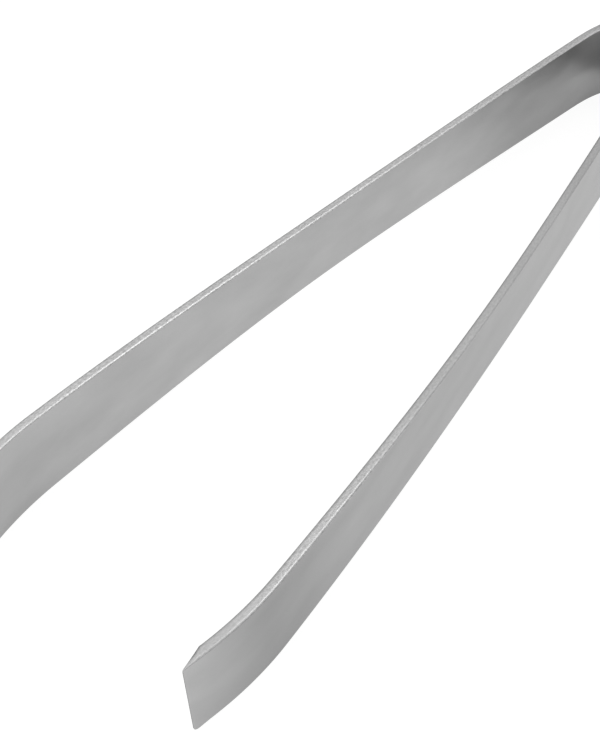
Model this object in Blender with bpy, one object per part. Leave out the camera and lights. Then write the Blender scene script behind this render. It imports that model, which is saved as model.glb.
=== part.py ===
"""Stamp tongs: one strip of spring steel, bent into a round bow with two flat arms that toe in at the tips.

The strip is modelled as the zones that flex against each other when it is squeezed: the bow, then a leg
and a blade on each side. Each moving zone has its origin on the line that it flexes about.

Frame: +X runs from the bow to the tips, +Y towards the left arm and +Z up, across the strip's width.
The origin is below the middle of the object, level with the lower edges of the tips.
All distances along the strip are measured on its centreline, from the middle of the bow.
"""

import math

import bmesh
import bpy
import numpy as np
from mathutils import Vector

# The strip: its width narrows from both ends to a waist
THICKNESS = 0.00115
FULL_WIDTH = 0.0120
WAIST_WIDTH = 0.0100
WAIST_AT = 0.0625
EDGE_RADIUS = 0.00022

# The bow: a round middle, then a shoulder that opens out to the heading of the leg
APEX_RADIUS = 0.00413
SHOULDER_LENGTH = 0.0077
SHOULDER_TURN = math.radians(20.3)

# The arm: its heading where it leaves the shoulder, then the length of each arc and the heading at its end
LEG_START_HEADING = math.radians(9.0)
LEG_ARC = (0.0385, math.radians(8.05))
BLADE_ARC = (0.05795, math.radians(3.4))
JAW_BEND = (0.0105, math.radians(-10.7))
JAW_STRAIGHT = (0.0028, math.radians(-10.7))

# The tip: ground on the inside to a thin edge, with its two corners eased. The slope of the ground facet is
# the toe-in of the jaw plus the turn of the closing arm, so the two facets meet flat.
TIP_EDGE_THICKNESS = 0.0001
TIP_CORNER_RADIUS = 0.0005
FULL_WIDTH_LENGTH = 0.0060

# Where the zones meet
FLEX_GAP = 0.0003
LEG_LENGTH = 0.0455

# How finely the solids follow the curves
LONGEST_STEP = 0.0030
LARGEST_TURN = math.radians(5.0)
CORNER_STEPS = 2
TIP_CORNER_STEPS = 3
LINE_STEP = 0.00005

APEX_LENGTH = APEX_RADIUS * (math.pi / 2 - LEG_START_HEADING - SHOULDER_TURN)
LEG_START = APEX_LENGTH + SHOULDER_LENGTH
BLADE_START = LEG_START + LEG_LENGTH
FACET_START = LEG_START + LEG_ARC[0] + BLADE_ARC[0] + JAW_BEND[0]
TIP_END = FACET_START + JAW_STRAIGHT[0]


def arc_ends():
    """Distance and heading at each point where the curvature of the strip changes."""
    ends = [(0.0, math.pi / 2)]
    ends.append((APEX_LENGTH, LEG_START_HEADING + SHOULDER_TURN))
    ends.append((LEG_START, LEG_START_HEADING))
    for length, end_heading in (LEG_ARC, BLADE_ARC, JAW_BEND, JAW_STRAIGHT):
        ends.append((ends[-1][0] + length, end_heading))
    return ends


ARC_ENDS = arc_ends()


def heading(along):
    """Angle of the left arm's centreline from +X. The turn of the shoulder fades out as a square."""
    if APEX_LENGTH < along < LEG_START:
        return LEG_START_HEADING + SHOULDER_TURN * ((LEG_START - along) / SHOULDER_LENGTH) ** 2
    distances, headings = zip(*ARC_ENDS)
    return float(np.interp(along, distances, headings))


def centreline():
    """Distances along the strip and the x and y of its left half, with x measured from the bow's middle."""
    along = np.linspace(0.0, TIP_END, round(TIP_END / LINE_STEP) + 1)
    headings = np.array([heading(a) for a in along])
    middle_headings = (headings[1:] + headings[:-1]) / 2
    lengths = np.diff(along)
    x = np.concatenate([[0.0], np.cumsum(np.cos(middle_headings) * lengths)])
    y = np.concatenate([[0.0], np.cumsum(np.sin(middle_headings) * lengths)])
    return along, x, y


LINE_ALONG, LINE_X, LINE_Y = centreline()
BACK_X = -THICKNESS / 2
FRONT_X = LINE_X[-1] + THICKNESS / 2 * math.sin(-heading(TIP_END))
MIDDLE_X = (BACK_X + FRONT_X) / 2


def on_strip(along, outwards=0.0, up=0.0):
    """A point of the strip: negative distances are on the right arm, outwards is away from the other arm."""
    side = math.copysign(1.0, along)
    distance = abs(along)
    angle = heading(distance)
    x = float(np.interp(distance, LINE_ALONG, LINE_X)) - MIDDLE_X - outwards * math.sin(angle)
    y = float(np.interp(distance, LINE_ALONG, LINE_Y)) + outwards * math.cos(angle)
    return Vector((x, side * y, FULL_WIDTH / 2 + up))


def smooth_step(share):
    share = min(max(share, 0.0), 1.0)
    return share * share * (3 - 2 * share)


def width(along):
    """Full at the bow and the tips with a waist between them, and less where the tip's corners are eased."""
    distance = abs(along)
    if distance < WAIST_AT:
        from_waist = 1 - distance / WAIST_AT
    else:
        from_waist = (distance - WAIST_AT) / (TIP_END - FULL_WIDTH_LENGTH - WAIST_AT)
    full = WAIST_WIDTH + (FULL_WIDTH - WAIST_WIDTH) * smooth_step(from_waist)
    into_corner = max(distance - (TIP_END - TIP_CORNER_RADIUS), 0.0)
    kept = math.sqrt(max(TIP_CORNER_RADIUS**2 - into_corner**2, 0.0))
    return full - 2 * (TIP_CORNER_RADIUS - kept)


def inner_face(along):
    """How far out from the centreline the inner face is: the ground facet slopes towards the outer face."""
    ground = max(abs(along) - FACET_START, 0.0) / (TIP_END - FACET_START)
    return -THICKNESS / 2 + (THICKNESS - TIP_EDGE_THICKNESS) * ground


def section(along):
    """The strip's rectangular section with rounded edges, as a closed ring of points."""
    inner = inner_face(along)
    outer = THICKNESS / 2
    half = width(along) / 2
    radius = min(EDGE_RADIUS, 0.45 * (outer - inner))
    ring = []
    for quarter, (out_centre, up_centre) in enumerate(
        (
            (outer - radius, half - radius),
            (inner + radius, half - radius),
            (inner + radius, radius - half),
            (outer - radius, radius - half),
        )
    ):
        for step in range(CORNER_STEPS + 1):
            angle = (quarter + step / CORNER_STEPS) * math.pi / 2
            outwards = out_centre + radius * math.cos(angle)
            up = up_centre + radius * math.sin(angle)
            ring.append(on_strip(along, outwards, up))
    return ring


def stations(start, end):
    """Distances of the sections between start and end, closer together where the strip bends."""
    breaks = {along for along, _ in ARC_ENDS}
    breaks |= {TIP_END - TIP_CORNER_RADIUS, WAIST_AT}
    for step in range(1, TIP_CORNER_STEPS):
        breaks.add(TIP_END - TIP_CORNER_RADIUS * (1 - math.sin(math.pi / 2 * step / TIP_CORNER_STEPS)))
    inside = sorted(signed for along in breaks for signed in {along, -along} if start < signed < end)
    edges = [start, *inside, end]
    found = [start]
    for low, high in zip(edges, edges[1:]):
        turn = abs(heading(abs(high)) - heading(abs(low)))
        steps = max(math.ceil((high - low) / LONGEST_STEP), math.ceil(turn / LARGEST_TURN))
        found += [low + (high - low) * (step + 1) / steps for step in range(steps)]
    return found


def steel(name):
    material = bpy.data.materials.new(name)
    material.use_nodes = True
    shader = material.node_tree.nodes["Principled BSDF"]
    shader.inputs["Base Color"].default_value = (0.62, 0.62, 0.61, 1.0)
    shader.inputs["Metallic"].default_value = 1.0
    shader.inputs["Roughness"].default_value = 0.38
    return material


def strip_zone(name, start, end, origin, parent=None):
    """One zone of the strip as a closed solid, with its origin at the given point."""
    mesh_builder = bmesh.new()
    rings = []
    for along in stations(start, end):
        rings.append([mesh_builder.verts.new(point - origin) for point in section(along)])
    for ring, following in zip(rings, rings[1:]):
        for index in range(len(ring)):
            after = (index + 1) % len(ring)
            mesh_builder.faces.new((ring[index], ring[after], following[after], following[index]))
    mesh_builder.faces.new(rings[0])
    mesh_builder.faces.new(rings[-1])
    bmesh.ops.recalc_face_normals(mesh_builder, faces=mesh_builder.faces[:])
    mesh = bpy.data.meshes.new(name)
    mesh_builder.to_mesh(mesh)
    mesh_builder.free()
    mesh.shade_smooth()
    mesh.set_sharp_from_angle(angle=math.radians(30))
    mesh.materials.append(steel(name + "_steel"))
    zone = bpy.data.objects.new(name, mesh)
    bpy.context.scene.collection.objects.link(zone)
    zone.parent = parent
    zone.location = origin - (parent.matrix_world.translation if parent else Vector())
    bpy.context.view_layer.update()
    return zone


def arm(side_name, side, bow):
    """The leg and the blade of one arm: side is 1 on the left and -1 on the right."""
    leg_axis = on_strip(side * LEG_START)
    blade_axis = on_strip(side * BLADE_START)
    leg_ends = sorted((side * (LEG_START + FLEX_GAP / 2), side * (BLADE_START - FLEX_GAP / 2)))
    blade_ends = sorted((side * (BLADE_START + FLEX_GAP / 2), side * TIP_END))
    leg = strip_zone(side_name + "_leg", *leg_ends, leg_axis, bow)
    strip_zone(side_name + "_blade", *blade_ends, blade_axis, leg)


def build():
    for scene_object in list(bpy.data.objects):
        bpy.data.objects.remove(scene_object)
    bow_end = LEG_START - FLEX_GAP / 2
    bow = strip_zone("bow", -bow_end, bow_end, on_strip(0.0))
    arm("left", 1, bow)
    arm("right", -1, bow)


build()
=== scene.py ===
"""The looks of the stamp tongs: one strip of satin steel, lofted finely along the line of the CAD strip.

Five pieces stand for the five CAD nodes. They meet where the strip is rigid.
Distances along the strip are measured on its centreline from the middle of the bow, and are negative on the
right arm.
"""

import math

import bpy
import numpy as np
from mathutils import Matrix, Vector


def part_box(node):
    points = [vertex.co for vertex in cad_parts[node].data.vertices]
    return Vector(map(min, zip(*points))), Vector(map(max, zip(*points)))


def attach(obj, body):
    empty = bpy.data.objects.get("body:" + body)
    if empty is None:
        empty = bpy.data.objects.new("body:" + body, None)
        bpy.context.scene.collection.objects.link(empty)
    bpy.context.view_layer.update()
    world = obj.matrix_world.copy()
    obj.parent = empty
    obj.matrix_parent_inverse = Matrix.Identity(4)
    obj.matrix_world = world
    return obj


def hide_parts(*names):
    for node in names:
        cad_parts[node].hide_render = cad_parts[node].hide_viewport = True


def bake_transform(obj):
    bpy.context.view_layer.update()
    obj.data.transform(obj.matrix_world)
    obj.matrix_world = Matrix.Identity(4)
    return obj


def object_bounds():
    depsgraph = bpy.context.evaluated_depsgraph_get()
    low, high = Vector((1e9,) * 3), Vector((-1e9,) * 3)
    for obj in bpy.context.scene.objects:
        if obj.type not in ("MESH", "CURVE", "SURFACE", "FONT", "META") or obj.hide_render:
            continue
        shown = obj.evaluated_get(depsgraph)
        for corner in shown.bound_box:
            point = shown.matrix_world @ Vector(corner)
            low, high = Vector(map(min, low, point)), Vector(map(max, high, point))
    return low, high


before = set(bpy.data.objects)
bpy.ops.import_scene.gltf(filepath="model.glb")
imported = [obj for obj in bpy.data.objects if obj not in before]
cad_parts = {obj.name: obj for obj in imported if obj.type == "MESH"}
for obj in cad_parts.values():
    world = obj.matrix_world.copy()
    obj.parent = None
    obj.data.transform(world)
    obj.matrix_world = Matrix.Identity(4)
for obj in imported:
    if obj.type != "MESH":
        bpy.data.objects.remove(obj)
cad_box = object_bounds()

# The strip's shape, as the CAD part has it
THICKNESS = 0.00115
WAIST_WIDTH = 0.0100
WAIST_AT = 0.0625
FULL_WIDTH_LENGTH = 0.0060
APEX_RADIUS = 0.00413
SHOULDER_LENGTH = 0.0077
SHOULDER_TURN = math.radians(20.3)
LEG_START_HEADING = math.radians(9.0)
LEG_ARC = (0.0385, math.radians(8.05))
BLADE_ARC = (0.05795, math.radians(3.4))
JAW_BEND = (0.0105, math.radians(-10.7))
JAW_STRAIGHT = (0.0028, math.radians(-10.7))
TIP_EDGE_THICKNESS = 0.0001

# The tip's upper corner is nearly sharp and its lower one is worn rounder
UPPER_CORNER_RADIUS = 0.0002
LOWER_CORNER_RADIUS = 0.0007

# The rounded edges are oval: they reach further over the narrow edge than down the wide faces. Where the
# strip is ground thin, each reaches over less than half of what is left.
EDGE_ROUND_ACROSS = 0.00035
EDGE_ROUND_DOWN = 0.00015
EDGE_ROUND_LIMIT = 0.45

# The frame gives the place and the full width
BACK_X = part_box("bow")[0].x
FLOOR_Z = cad_box[0].z
FULL_WIDTH = cad_box[1].z - cad_box[0].z

APEX_LENGTH = APEX_RADIUS * (math.pi / 2 - LEG_START_HEADING - SHOULDER_TURN)
LEG_START = APEX_LENGTH + SHOULDER_LENGTH
JAW_BEND_START = LEG_START + LEG_ARC[0] + BLADE_ARC[0]
FACET_START = JAW_BEND_START + JAW_BEND[0]
TIP_END = FACET_START + JAW_STRAIGHT[0]

# Where along the leg's arc the leg and blade pieces meet
LEG_SEAM_SHARE = 0.6
LEG_SEAM = LEG_START + LEG_SEAM_SHARE * LEG_ARC[0]

# Painted light and shade on the inner faces: painted shade towards the bow, with a painted sheen on the
# upper half inside it, while the lower half has more painted shade there and at the tips. A zone gives where
# a change starts and where it is full.
BOW_ZONE = (0.042, 0.024)
BOW_PAINTED_SHADE = 0.22
PAINTED_SHEEN_ZONE = (0.017, 0.008)
UPPER_PAINTED_SHEEN = 0.48
LOWER_SHEEN_PAINTED_SHADE = 0.11
LOWER_BOW_ZONE = (0.029, 0.021)
LOWER_BOW_PAINTED_SHADE = 0.14
LOWER_TIP_ZONE = (0.084, TIP_END)
LOWER_TIP_PAINTED_SHADE = 0.16

# Painted shade on the outer faces, all along and most where the jaws bend, with a painted highlight at the
# tips
OUTER_PAINTED_SHADE = 0.19
JAW_ZONE = (0.096, 0.110)
JAW_PAINTED_SHADE = 0.12
TIP_ZONE = (0.110, TIP_END)
TIP_PAINTED_HIGHLIGHT = 0.29
LOWER_OUTER_TIP_PAINTED_SHADE = 0.10

# Painted shade on the left arm's narrow edges and painted light on the right's, changing over across the bow
EDGE_PAINTED_LIGHT_AND_SHADE = 0.07
ARM_CHANGE_REACH = 0.010

# A dark mark on the upper inner and the lower outer corner where the ground facet starts
DARK_MARK_LENGTH = 0.0016
DARK_MARK_FADE = 0.0005
DARK_MARK_DARKNESS = 0.40

# The grain is stronger on the right arm. It fades along the left arm towards the bow, and towards both tips.
RIGHT_GRAIN = 1.25
LEFT_GRAIN_ZONE = (0.095, 0.065)
LEFT_GRAIN_LOSS = 0.5
TIP_GRAIN_ZONE = (0.107, 0.113)
TIP_GRAIN_LOSS = 0.4

# The steel of each part of the strip. The roughness goes from its first value to its second in soft clouds,
# which change the brightness a little too. The grain is in features per 10 mm along and around the strip.
FINISHES = {
    "satin_steel": dict(
        brightness=0.42,
        clouds=0.07,
        roughness=(0.33, 0.37),
        grain=(3.0, 90.0),
        grain_contrast=0.01,
        grain_depth=0.000003,
        wave_depth=0.00030,
    ),
    "rounded_edge_steel": dict(
        brightness=0.487,
        clouds=0.03,
        roughness=(0.29, 0.35),
        grain=(24.0, 45.0),
        grain_contrast=0.22,
        grain_depth=0.000015,
        wave_depth=0.00002,
    ),
    "ground_steel": dict(
        brightness=0.44,
        clouds=0.03,
        roughness=(0.26, 0.32),
        grain=(60.0, 3.0),
        grain_contrast=0.05,
        grain_depth=0.000004,
        wave_depth=0.00002,
    ),
    "sheared_steel": dict(
        brightness=0.16,
        clouds=0.10,
        roughness=(0.45, 0.55),
        grain=(60.0, 60.0),
        grain_contrast=0.25,
        grain_depth=0.000004,
        wave_depth=0.00002,
    ),
}
FACE_SLOT, EDGE_SLOT, FACET_SLOT, END_SLOT = range(len(FINISHES))
ANISOTROPY = 0.3
QUARTER_TURN = 0.25

# Clouds and waves, in features per 10 mm too, and the noise that all of them are made of: its detail, its
# harshness and the range that most of its values lie in
CLOUDS = (1.1, 2.3)
WAVES = (0.9, 1.6)
FINE_DETAIL = 3.0
SMOOTH_DETAIL = 1.0
GRAIN_HARSHNESS = 0.6
SOFT_HARSHNESS = 0.5
NOISE_LOW = 0.3
NOISE_HIGH = 0.7

# What the meshes store: the map along and around the strip, in units of 10 mm, and at each point the painted
# light and shade with the dark mark, and how strong the grain is
STRIP_MAP = "strip"
MAP_UNIT = 0.01
PAINTED_LIGHT = "finish"
GRAIN = "grain"

# How finely the pieces follow the curves
CORNER_STEPS = 8
STRAIGHT_STEP = 0.0006
BEND_STEP = 0.00025
TIP_STEP = 0.00005
LINE_STEP = 0.00002
SLOPE_STEP = 0.000001

# The wide faces' places in a ring, counted from the upper outer edge over the top
INNER_FACE = 2 * CORNER_STEPS + 1
OUTER_FACE = 4 * CORNER_STEPS + 3

# The paper floor: how far it reaches from the middle, how high its edges turn up, its gap under the strip,
# and its material, whose glow leaves only a faint shadow on it
FLOOR_REACH = 3.0
FLOOR_RIM = 0.35
FLOOR_CLEARANCE = 0.00002
WHITE = (1.0, 1.0, 1.0, 1.0)
PAPER_GREY = (0.2, 0.2, 0.2, 1.0)
PAPER_GLOW = 0.88
PAPER_ROUGHNESS = 0.9

# The studio: a dome that is dark round the horizon and lighter beyond the tips, more so on the right, and
# two soft lamps, with their directions in degrees from +X and above the floor
DOME_LIGHT = 1.06
HORIZON_LIGHT = 0.25
DOME_HEIGHT = 0.79
DOME_TILT = (0.31, -0.16, 0.0)
LAMP_DISTANCE = 0.9
LAMPS = {
    "key": dict(azimuth=189.0, elevation=65.0, size=0.24, power=0.52),
    "fill": dict(azimuth=138.0, elevation=14.0, size=0.70, power=0.95),
}

# The camera looks at a point level with the middle of the strip's width, from beside the left tip
CAMERA_AIM = (0.02000, -0.00105)
CAMERA_TURN = math.radians(220.255)
CAMERA_PITCH = math.radians(48.047)
CAMERA_ROLL = math.radians(-2.679)
CAMERA_DISTANCE = 0.15374
CAMERA_SENSOR = 36.0
CAMERA_LENS = 63.05
CAMERA_CLIP_START = 0.01


def arc_ends():
    """Distance and heading at each point where the curvature of the strip changes."""
    ends = [(0.0, math.pi / 2)]
    ends.append((APEX_LENGTH, LEG_START_HEADING + SHOULDER_TURN))
    ends.append((LEG_START, LEG_START_HEADING))
    for length, end_heading in (LEG_ARC, BLADE_ARC, JAW_BEND, JAW_STRAIGHT):
        ends.append((ends[-1][0] + length, end_heading))
    return ends


ARC_ENDS = arc_ends()


def heading(distance):
    """Angle of the left arm's centreline from +X. The turn of the shoulder fades out as a square."""
    angle = np.interp(distance, *zip(*ARC_ENDS))
    to_leg = (LEG_START - distance) / SHOULDER_LENGTH
    in_shoulder = (distance > APEX_LENGTH) & (distance < LEG_START)
    return np.where(in_shoulder, LEG_START_HEADING + SHOULDER_TURN * to_leg**2, angle)


def centreline():
    """Distances along the strip and the x and y of its left half."""
    distance = np.linspace(0.0, TIP_END, round(TIP_END / LINE_STEP) + 1)
    middle_heading = heading((distance[1:] + distance[:-1]) / 2)
    lengths = np.diff(distance)
    x = np.concatenate([[0.0], np.cumsum(np.cos(middle_heading) * lengths)])
    y = np.concatenate([[0.0], np.cumsum(np.sin(middle_heading) * lengths)])
    return distance, x + BACK_X + THICKNESS / 2, y


LINE = centreline()


def side_of(along):
    return np.where(np.asarray(along) < 0, -1.0, 1.0)


def directions(along):
    """Unit vectors along the strip, towards the left tip, and outwards, away from the other arm."""
    side = side_of(along)
    angle = heading(np.abs(along))
    level = np.zeros_like(angle)
    forwards = np.stack([side * np.cos(angle), np.sin(angle), level], -1)
    outwards = np.stack([-np.sin(angle), side * np.cos(angle), level], -1)
    return forwards, outwards


def smooth_step(share):
    share = np.clip(share, 0.0, 1.0)
    return share * share * (3 - 2 * share)


def change(distance, zone):
    """How far a change over a zone of the strip has come: from 0 at the zone's start to 1 at its end."""
    start, end = zone
    return smooth_step((distance - start) / (end - start))


def half_width(along, corner_radius):
    """Half the strip's width, less where the corner at the tip is eased."""
    distance = np.abs(along)
    to_bow = 1 - distance / WAIST_AT
    to_tip = (distance - WAIST_AT) / (TIP_END - FULL_WIDTH_LENGTH - WAIST_AT)
    from_waist = smooth_step(np.where(distance < WAIST_AT, to_bow, to_tip))
    into_corner = np.clip(distance - (TIP_END - corner_radius), 0.0, corner_radius)
    eased = corner_radius - np.sqrt(corner_radius**2 - into_corner**2)
    return (WAIST_WIDTH + (FULL_WIDTH - WAIST_WIDTH) * from_waist) / 2 - eased


def inner_face(along):
    """How far out from the centreline the inner face is: the ground facet slopes towards the outer face."""
    ground = np.clip(np.abs(along) - FACET_START, 0.0, None) / (TIP_END - FACET_START)
    return -THICKNESS / 2 + (THICKNESS - TIP_EDGE_THICKNESS) * ground


def sections(along):
    """Points round each section of the strip, and the outwards and upwards parts of their normals.

    The rings start at the upper outer edge and go over the top, down the inside and back up the outside.
    """
    inner = inner_face(along)
    outer = np.full_like(inner, THICKNESS / 2)
    upper = half_width(along, UPPER_CORNER_RADIUS)
    lower = -half_width(along, LOWER_CORNER_RADIUS)
    across = np.minimum(EDGE_ROUND_ACROSS, EDGE_ROUND_LIMIT * (outer - inner))
    down = across * EDGE_ROUND_DOWN / EDGE_ROUND_ACROSS
    centres = (
        (outer - across, upper - down),
        (inner + across, upper - down),
        (inner + across, lower + down),
        (outer - across, lower + down),
    )
    out_offsets, up_offsets, normals = [], [], []
    for quarter, (out_centre, up_centre) in enumerate(centres):
        for step in range(CORNER_STEPS + 1):
            angle = (quarter + step / CORNER_STEPS) * math.pi / 2
            out_part, up_part = math.cos(angle), math.sin(angle)
            reach = np.hypot(across * out_part, down * up_part)
            out_offsets.append(out_centre + across**2 * out_part / reach)
            up_offsets.append(up_centre + down**2 * up_part / reach)
            normals.append((out_part, up_part))
    return np.stack(out_offsets, -1), np.stack(up_offsets, -1), np.array(normals)


def ring_points(along):
    """Places of the ring points of every section: sections by points by 3."""
    side = side_of(along)
    x = np.interp(np.abs(along), LINE[0], LINE[1])
    y = side * np.interp(np.abs(along), LINE[0], LINE[2])
    centre = np.stack([x, y, np.full_like(x, FLOOR_Z + FULL_WIDTH / 2)], -1)
    outwards = directions(along)[1]
    out_offsets, up_offsets, _ = sections(along)
    up = np.array([0.0, 0.0, 1.0])
    return centre[:, None] + out_offsets[..., None] * outwards[:, None] + up_offsets[..., None] * up


def ring_normals(along):
    """Surface normals at the ring points, leaned along the strip where it tapers, widens or ends."""
    forwards, outwards = directions(along)
    flat = sections(along)[2]
    up = np.array([0.0, 0.0, 1.0])
    normals = flat[None, :, :1] * outwards[:, None] + flat[None, :, 1:] * up
    slope = ring_points(along + SLOPE_STEP) - ring_points(along - SLOPE_STEP)
    lean = (normals * slope).sum(-1) / (forwards[:, None] * slope).sum(-1)
    normals = normals - lean[..., None] * forwards[:, None]
    return normals / np.linalg.norm(normals, axis=-1, keepdims=True)


def stations(start, end):
    """Distances of the sections between start and end, close together where the strip bends or ends."""
    breaks = [distance for distance, _ in ARC_ENDS]
    breaks += [TIP_END - LOWER_CORNER_RADIUS, TIP_END - UPPER_CORNER_RADIUS]
    both_arms = {signed for distance in breaks for signed in (distance, -distance)}
    inside = sorted(signed for signed in both_arms if start < signed < end)
    edges = [start, *inside, end]
    found = [np.array([start])]
    for low, high in zip(edges, edges[1:]):
        middle = abs(low + high) / 2
        if middle > TIP_END - LOWER_CORNER_RADIUS:
            step = TIP_STEP
        elif middle < LEG_START or middle > JAW_BEND_START:
            step = BEND_STEP
        else:
            step = STRAIGHT_STEP
        found.append(np.linspace(low, high, math.ceil((high - low) / step) + 1)[1:])
    return np.concatenate(found)


def painted_inner_light_and_shade(distance):
    """How much painted shade, less any painted sheen, the upper and the lower half of the inner face have.
    """
    towards_bow = BOW_PAINTED_SHADE * change(distance, BOW_ZONE)
    painted_sheen_share = change(distance, PAINTED_SHEEN_ZONE)
    upper = towards_bow - UPPER_PAINTED_SHEEN * painted_sheen_share
    lower = towards_bow + LOWER_SHEEN_PAINTED_SHADE * painted_sheen_share
    lower += LOWER_BOW_PAINTED_SHADE * change(distance, LOWER_BOW_ZONE)
    lower += LOWER_TIP_PAINTED_SHADE * change(distance, LOWER_TIP_ZONE)
    return upper, lower


def painted_outer_light_and_shade(distance):
    """How much painted shade, less the painted highlight at the tips, the upper and the lower half of the
    outer face have.
    """
    upper = OUTER_PAINTED_SHADE + JAW_PAINTED_SHADE * change(distance, JAW_ZONE)
    upper -= TIP_PAINTED_HIGHLIGHT * change(distance, TIP_ZONE)
    return upper, upper + LOWER_OUTER_TIP_PAINTED_SHADE * change(distance, LOWER_TIP_ZONE)


def dark_mark(distance):
    """How much of the dark mark there is: it starts where the ground facet does, and ends before the tip."""
    starts = change(distance, (FACET_START - DARK_MARK_FADE, FACET_START))
    ends = change(distance, (FACET_START + DARK_MARK_LENGTH - DARK_MARK_FADE, FACET_START + DARK_MARK_LENGTH))
    return starts * (1 - ends)


def painted_light_and_mark(along):
    """The painted light and shade, with the dark mark, at the ring points of every section, where 1 is the
    plain steel.
    """
    distance = np.abs(along)
    outwards, upwards = sections(along)[2].T
    is_lower = np.arange(len(outwards)) >= len(outwards) // 2
    painted_darkening = np.zeros((len(along), len(outwards)))
    for facing, (upper, lower) in ((-outwards, painted_inner_light_and_shade(distance)), (outwards, painted_outer_light_and_shade(distance))):
        painted_darkening += np.where(is_lower, lower[:, None], upper[:, None]) * np.clip(facing, 0.0, 1.0)
    # Painted shade on the left arm's narrow edges, painted light on the right's
    arm = np.clip(along / ARM_CHANGE_REACH, -1.0, 1.0)
    painted_darkening += EDGE_PAINTED_LIGHT_AND_SHADE * np.outer(arm, np.abs(upwards))
    # The dark mark on the upper inner and the lower outer corners
    marked_corners = np.clip(-2 * outwards * upwards, 0.0, 1.0)
    return 1 - painted_darkening - DARK_MARK_DARKNESS * np.outer(dark_mark(distance), marked_corners)


def grain_strength(along):
    """How strong the grain is at each section."""
    left_arm = smooth_step(along / ARM_CHANGE_REACH)
    left_grain = 1 - LEFT_GRAIN_LOSS * change(along, LEFT_GRAIN_ZONE)
    at_tip = 1 - TIP_GRAIN_LOSS * change(np.abs(along), TIP_GRAIN_ZONE)
    return (RIGHT_GRAIN + (left_grain - RIGHT_GRAIN) * left_arm) * at_tip


def slot_of(column, along):
    """Which material a face takes: the wide faces, the rounded edges or the ground facet."""
    if column == INNER_FACE and abs(along) > FACET_START:
        return FACET_SLOT
    return FACE_SLOT if column in (INNER_FACE, OUTER_FACE) else EDGE_SLOT


def strip_piece(name, start, end, materials):
    """A stretch of the strip as one closed mesh, with exact normals and the strip's map."""
    along = stations(start, end)
    points = ring_points(along)
    normals = ring_normals(along)
    forwards = directions(along)[0]
    count, ring = points.shape[:2]
    around = np.linalg.norm(np.roll(points, -1, axis=1) - points, axis=-1).cumsum(axis=1)
    around = np.concatenate([np.zeros((count, 1)), around], axis=1)
    around -= around[:, -1:] / 2
    faces, face_normals, map_points, slots = [], [], [], []
    for row in range(count - 1):
        for column in range(ring):
            after = (column + 1) % ring
            corners = ((row, column), (row, after), (row + 1, after), (row + 1, column))
            columns = (column, column + 1, column + 1, column)
            faces.append([at_row * ring + at_column for at_row, at_column in corners])
            face_normals += [normals[corner] for corner in corners]
            map_points += [(along[at], around[at, place]) for (at, _), place in zip(corners, columns)]
            slots.append(slot_of(column, (along[row] + along[row + 1]) / 2))
    for row, order, direction in ((0, -1, -forwards[0]), (count - 1, 1, forwards[-1])):
        cap = list(range(ring))[::order]
        faces.append([row * ring + place for place in cap])
        face_normals += [direction] * ring
        map_points += [(along[row], around[row, place]) for place in cap]
        slots.append(END_SLOT)
    piece = make_mesh_object(name, points.reshape(-1, 3), faces, face_normals, map_points, slots, materials)
    # Store the painted light and shade, with the dark mark, for the materials to scale their colour by
    store(piece, PAINTED_LIGHT, painted_light_and_mark(along).ravel())
    store(piece, GRAIN, np.repeat(grain_strength(along), ring))
    return piece


def store(piece, attribute, values):
    piece.data.attributes.new(attribute, "FLOAT", "POINT").data.foreach_set("value", values)


def make_mesh_object(name, points, faces, face_normals, map_points, slots, materials):
    """A mesh whose last two faces are its flat ends."""
    mesh = bpy.data.meshes.new(name)
    mesh.from_pydata(points.tolist(), [], faces)
    strip_map = mesh.uv_layers.new(name=STRIP_MAP)
    strip_map.data.foreach_set("uv", (np.array(map_points) / MAP_UNIT).ravel())
    for material in materials:
        mesh.materials.append(material)
    mesh.polygons.foreach_set("material_index", slots)
    mesh.shade_smooth()
    for cap in mesh.polygons[-2:]:
        cap.use_smooth = False
    mesh.normals_split_custom_set([tuple(normal) for normal in face_normals])
    mesh.update()
    return linked_object(name, mesh)


def linked_object(name, data):
    new_object = bpy.data.objects.new(name, data)
    bpy.context.scene.collection.objects.link(new_object)
    return new_object


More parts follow.
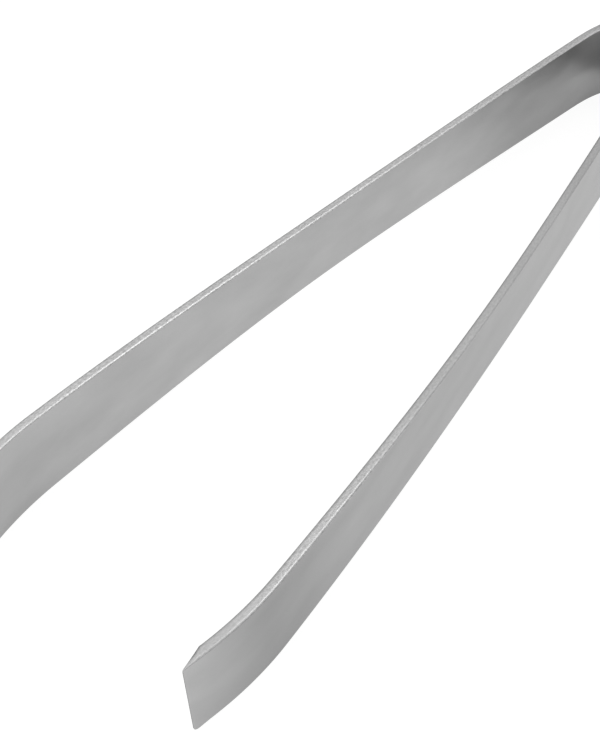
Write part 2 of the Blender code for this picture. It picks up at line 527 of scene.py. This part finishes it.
class Nodes:
    """A short way to add nodes to one material's or world's tree."""

    def __init__(self, tree):
        self.tree = tree

    def add(self, kind, **settings):
        node = self.tree.nodes.new(kind)
        for setting, value in settings.items():
            setattr(node, setting, value)
        return node

    def link(self, output, target):
        self.tree.links.new(output, target)

    def stored(self, name):
        """A value that the mesh stores at each point."""
        return self.add("ShaderNodeAttribute", attribute_name=name).outputs["Fac"]

    def calculate(self, operation, *values):
        """The result of an operation on values, each of them a number or another node's output."""
        node = self.add("ShaderNodeMath", operation=operation)
        for socket, value in zip(node.inputs, values):
            if isinstance(value, float):
                socket.default_value = value
            else:
                self.link(value, socket)
        return node.outputs["Value"]

    def strip_noise(self, scale, detail, harshness):
        """Noise laid along the strip: the scale is in features per 10 mm along and around it."""
        strip_map = self.add("ShaderNodeUVMap", uv_map=STRIP_MAP)
        scaled = self.add("ShaderNodeMapping")
        scaled.inputs["Scale"].default_value = (*scale, 1.0)
        noise = self.add("ShaderNodeTexNoise")
        noise.inputs["Scale"].default_value = 1.0
        noise.inputs["Detail"].default_value = detail
        noise.inputs["Roughness"].default_value = harshness
        self.link(strip_map.outputs["UV"], scaled.inputs["Vector"])
        self.link(scaled.outputs["Vector"], noise.inputs["Vector"])
        return noise.outputs["Fac"]

    def ranged(self, value, low, high, from_low=NOISE_LOW, from_high=NOISE_HIGH, **settings):
        """A value remapped to low..high from its own range, which for noise is its usual spread."""
        remap = self.add("ShaderNodeMapRange", **settings)
        remap.inputs["From Min"].default_value = from_low
        remap.inputs["From Max"].default_value = from_high
        remap.inputs["To Min"].default_value = low
        remap.inputs["To Max"].default_value = high
        self.link(value, remap.inputs["Value"])
        return remap.outputs["Result"]

    def bumped(self, height, distance, normal=None):
        bump = self.add("ShaderNodeBump")
        bump.inputs["Distance"].default_value = distance
        bump.inputs["Strength"].default_value = 1.0
        self.link(height, bump.inputs["Height"])
        if normal is not None:
            self.link(normal, bump.inputs["Normal"])
        return bump.outputs["Normal"]


def new_material(name):
    """A material's datablock, its nodes and its shader."""
    material = bpy.data.materials.new(name)
    material.use_nodes = True
    return material, Nodes(material.node_tree), material.node_tree.nodes["Principled BSDF"]


def steel(name, brightness, clouds, roughness, grain, grain_contrast, grain_depth, wave_depth):
    """Steel with a fine grain, soft clouds in its finish and slight waves in its surface."""
    material, nodes, shader = new_material(name)
    shader.inputs["Metallic"].default_value = 1.0
    shader.inputs["Anisotropic"].default_value = ANISOTROPY
    shader.inputs["Anisotropic Rotation"].default_value = QUARTER_TURN
    tangent = nodes.add("ShaderNodeTangent", direction_type="UV_MAP", uv_map=STRIP_MAP)
    nodes.link(tangent.outputs["Tangent"], shader.inputs["Tangent"])
    grain_noise = nodes.strip_noise(grain, FINE_DETAIL, GRAIN_HARSHNESS)
    cloud_noise = nodes.strip_noise(CLOUDS, FINE_DETAIL, SOFT_HARSHNESS)
    wave_noise = nodes.strip_noise(WAVES, SMOOTH_DETAIL, SOFT_HARSHNESS)
    strength = nodes.stored(GRAIN)
    contrast = nodes.ranged(grain_noise, -grain_contrast, grain_contrast)
    speckle = nodes.calculate("MULTIPLY", contrast, strength)
    cloudy = nodes.ranged(cloud_noise, brightness * (1 - clouds), brightness * (1 + clouds))
    grainy = nodes.calculate("MULTIPLY", cloudy, nodes.calculate("ADD", 1.0, speckle))
    # The base colour is scaled by the stored painted light and shade, with the dark mark
    nodes.link(nodes.calculate("MULTIPLY", grainy, nodes.stored(PAINTED_LIGHT)), shader.inputs["Base Color"])
    nodes.link(nodes.ranged(cloud_noise, *roughness), shader.inputs["Roughness"])
    waved = nodes.bumped(wave_noise, wave_depth)
    grain_height = nodes.calculate("MULTIPLY", grain_noise, strength)
    nodes.link(nodes.bumped(grain_height, grain_depth, waved), shader.inputs["Normal"])
    return material


def bending_piece(side, bodies, ends, materials):
    """The piece that stands for the second of two bodies, between the ends given on one side."""
    first_body, second_body = bodies
    piece = strip_piece(second_body + "_strip", *sorted(side * end for end in ends), materials)
    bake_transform(piece)
    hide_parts(second_body)


def build_strip():
    materials = [steel(name, **settings) for name, settings in FINISHES.items()]
    bow = strip_piece("bow_strip", -APEX_LENGTH, APEX_LENGTH, materials)
    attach(bow, "bow")
    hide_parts("bow")
    for side_name, side in (("left", 1), ("right", -1)):
        leg = side_name + "_leg"
        blade = side_name + "_blade"
        bending_piece(side, ("bow", leg), (APEX_LENGTH, LEG_SEAM), materials)
        bending_piece(side, (leg, blade), (LEG_SEAM, TIP_END), materials)


def paper():
    material, _, shader = new_material("floor_paper")
    shader.inputs["Base Color"].default_value = PAPER_GREY
    shader.inputs["Roughness"].default_value = PAPER_ROUGHNESS
    shader.inputs["Specular IOR Level"].default_value = 0.0
    shader.inputs["Emission Color"].default_value = WHITE
    shader.inputs["Emission Strength"].default_value = PAPER_GLOW
    return material


def build_floor():
    """A sheet of white paper whose edges turn up, far away, so that low views don't see past it."""
    top = FLOOR_Z - FLOOR_CLEARANCE
    corners = ((-1, -1), (1, -1), (1, 1), (-1, 1))
    points = [(x * FLOOR_REACH, y * FLOOR_REACH, top) for x, y in corners]
    points += [(x, y, top + FLOOR_RIM) for x, y, _ in points]
    faces = [(0, 1, 2, 3)]
    faces += [(side, side + 4, (side + 1) % 4 + 4, (side + 1) % 4) for side in range(4)]
    mesh = bpy.data.meshes.new("floor")
    mesh.from_pydata(points, [], faces)
    mesh.materials.append(paper())
    floor = linked_object("floor", mesh)


def build_dome():
    """A pale world: its light grows from the horizon up, and by DOME_TILT towards one side."""
    world = bpy.data.worlds.new("studio")
    world.use_nodes = True
    nodes = Nodes(world.node_tree)
    background = world.node_tree.nodes["Background"]
    background.inputs["Color"].default_value = WHITE
    direction = nodes.add("ShaderNodeTexCoord").outputs["Generated"]
    parts = nodes.add("ShaderNodeSeparateXYZ")
    nodes.link(direction, parts.inputs["Vector"])
    up = parts.outputs["Z"]
    light = nodes.ranged(up, HORIZON_LIGHT, DOME_LIGHT, 0.0, DOME_HEIGHT, interpolation_type="SMOOTHSTEP")
    tilt = nodes.add("ShaderNodeVectorMath", operation="DOT_PRODUCT")
    tilt.inputs[1].default_value = DOME_TILT
    nodes.link(direction, tilt.inputs[0])
    tilted = nodes.calculate("MULTIPLY_ADD", tilt.outputs["Value"], light, light)
    nodes.link(tilted, background.inputs["Strength"])
    bpy.context.scene.world = world


def soft_lamp(name, azimuth, elevation, size, power):
    """A square soft lamp that faces the object."""
    azimuth, elevation = math.radians(azimuth), math.radians(elevation)
    level = math.cos(elevation)
    towards_lamp = Vector((level * math.cos(azimuth), level * math.sin(azimuth), math.sin(elevation)))
    data = bpy.data.lights.new(name, "AREA")
    data.shape = "SQUARE"
    data.size = size
    data.energy = power
    lamp = linked_object(name, data)
    lamp.location = towards_lamp * LAMP_DISTANCE
    lamp.rotation_mode = "QUATERNION"
    lamp.rotation_quaternion = towards_lamp.to_track_quat("Z", "Y")


def build_lights():
    build_dome()
    for name, settings in LAMPS.items():
        soft_lamp(name, **settings)


def build_camera():
    """The view looks down from beside the left tip, towards the bow."""
    aim = Vector((*CAMERA_AIM, FLOOR_Z + FULL_WIDTH / 2))
    data = bpy.data.cameras.new("camera")
    data.sensor_width = CAMERA_SENSOR
    data.lens = CAMERA_LENS
    data.clip_start = CAMERA_CLIP_START
    turned = Matrix.Rotation(CAMERA_TURN - math.pi / 2, 4, "Z")
    facing = turned @ Matrix.Rotation(math.pi / 2 - CAMERA_PITCH, 4, "X")
    backwards = facing.col[2].to_3d()
    camera = linked_object("camera", data)
    placed = Matrix.Translation(aim + backwards * CAMERA_DISTANCE)
    camera.matrix_world = placed @ facing @ Matrix.Rotation(CAMERA_ROLL, 4, "Z")
    bpy.context.scene.camera = camera


bpy.context.scene.view_settings.view_transform = "Standard"
build_camera()
build_strip()
build_floor()
build_lights()
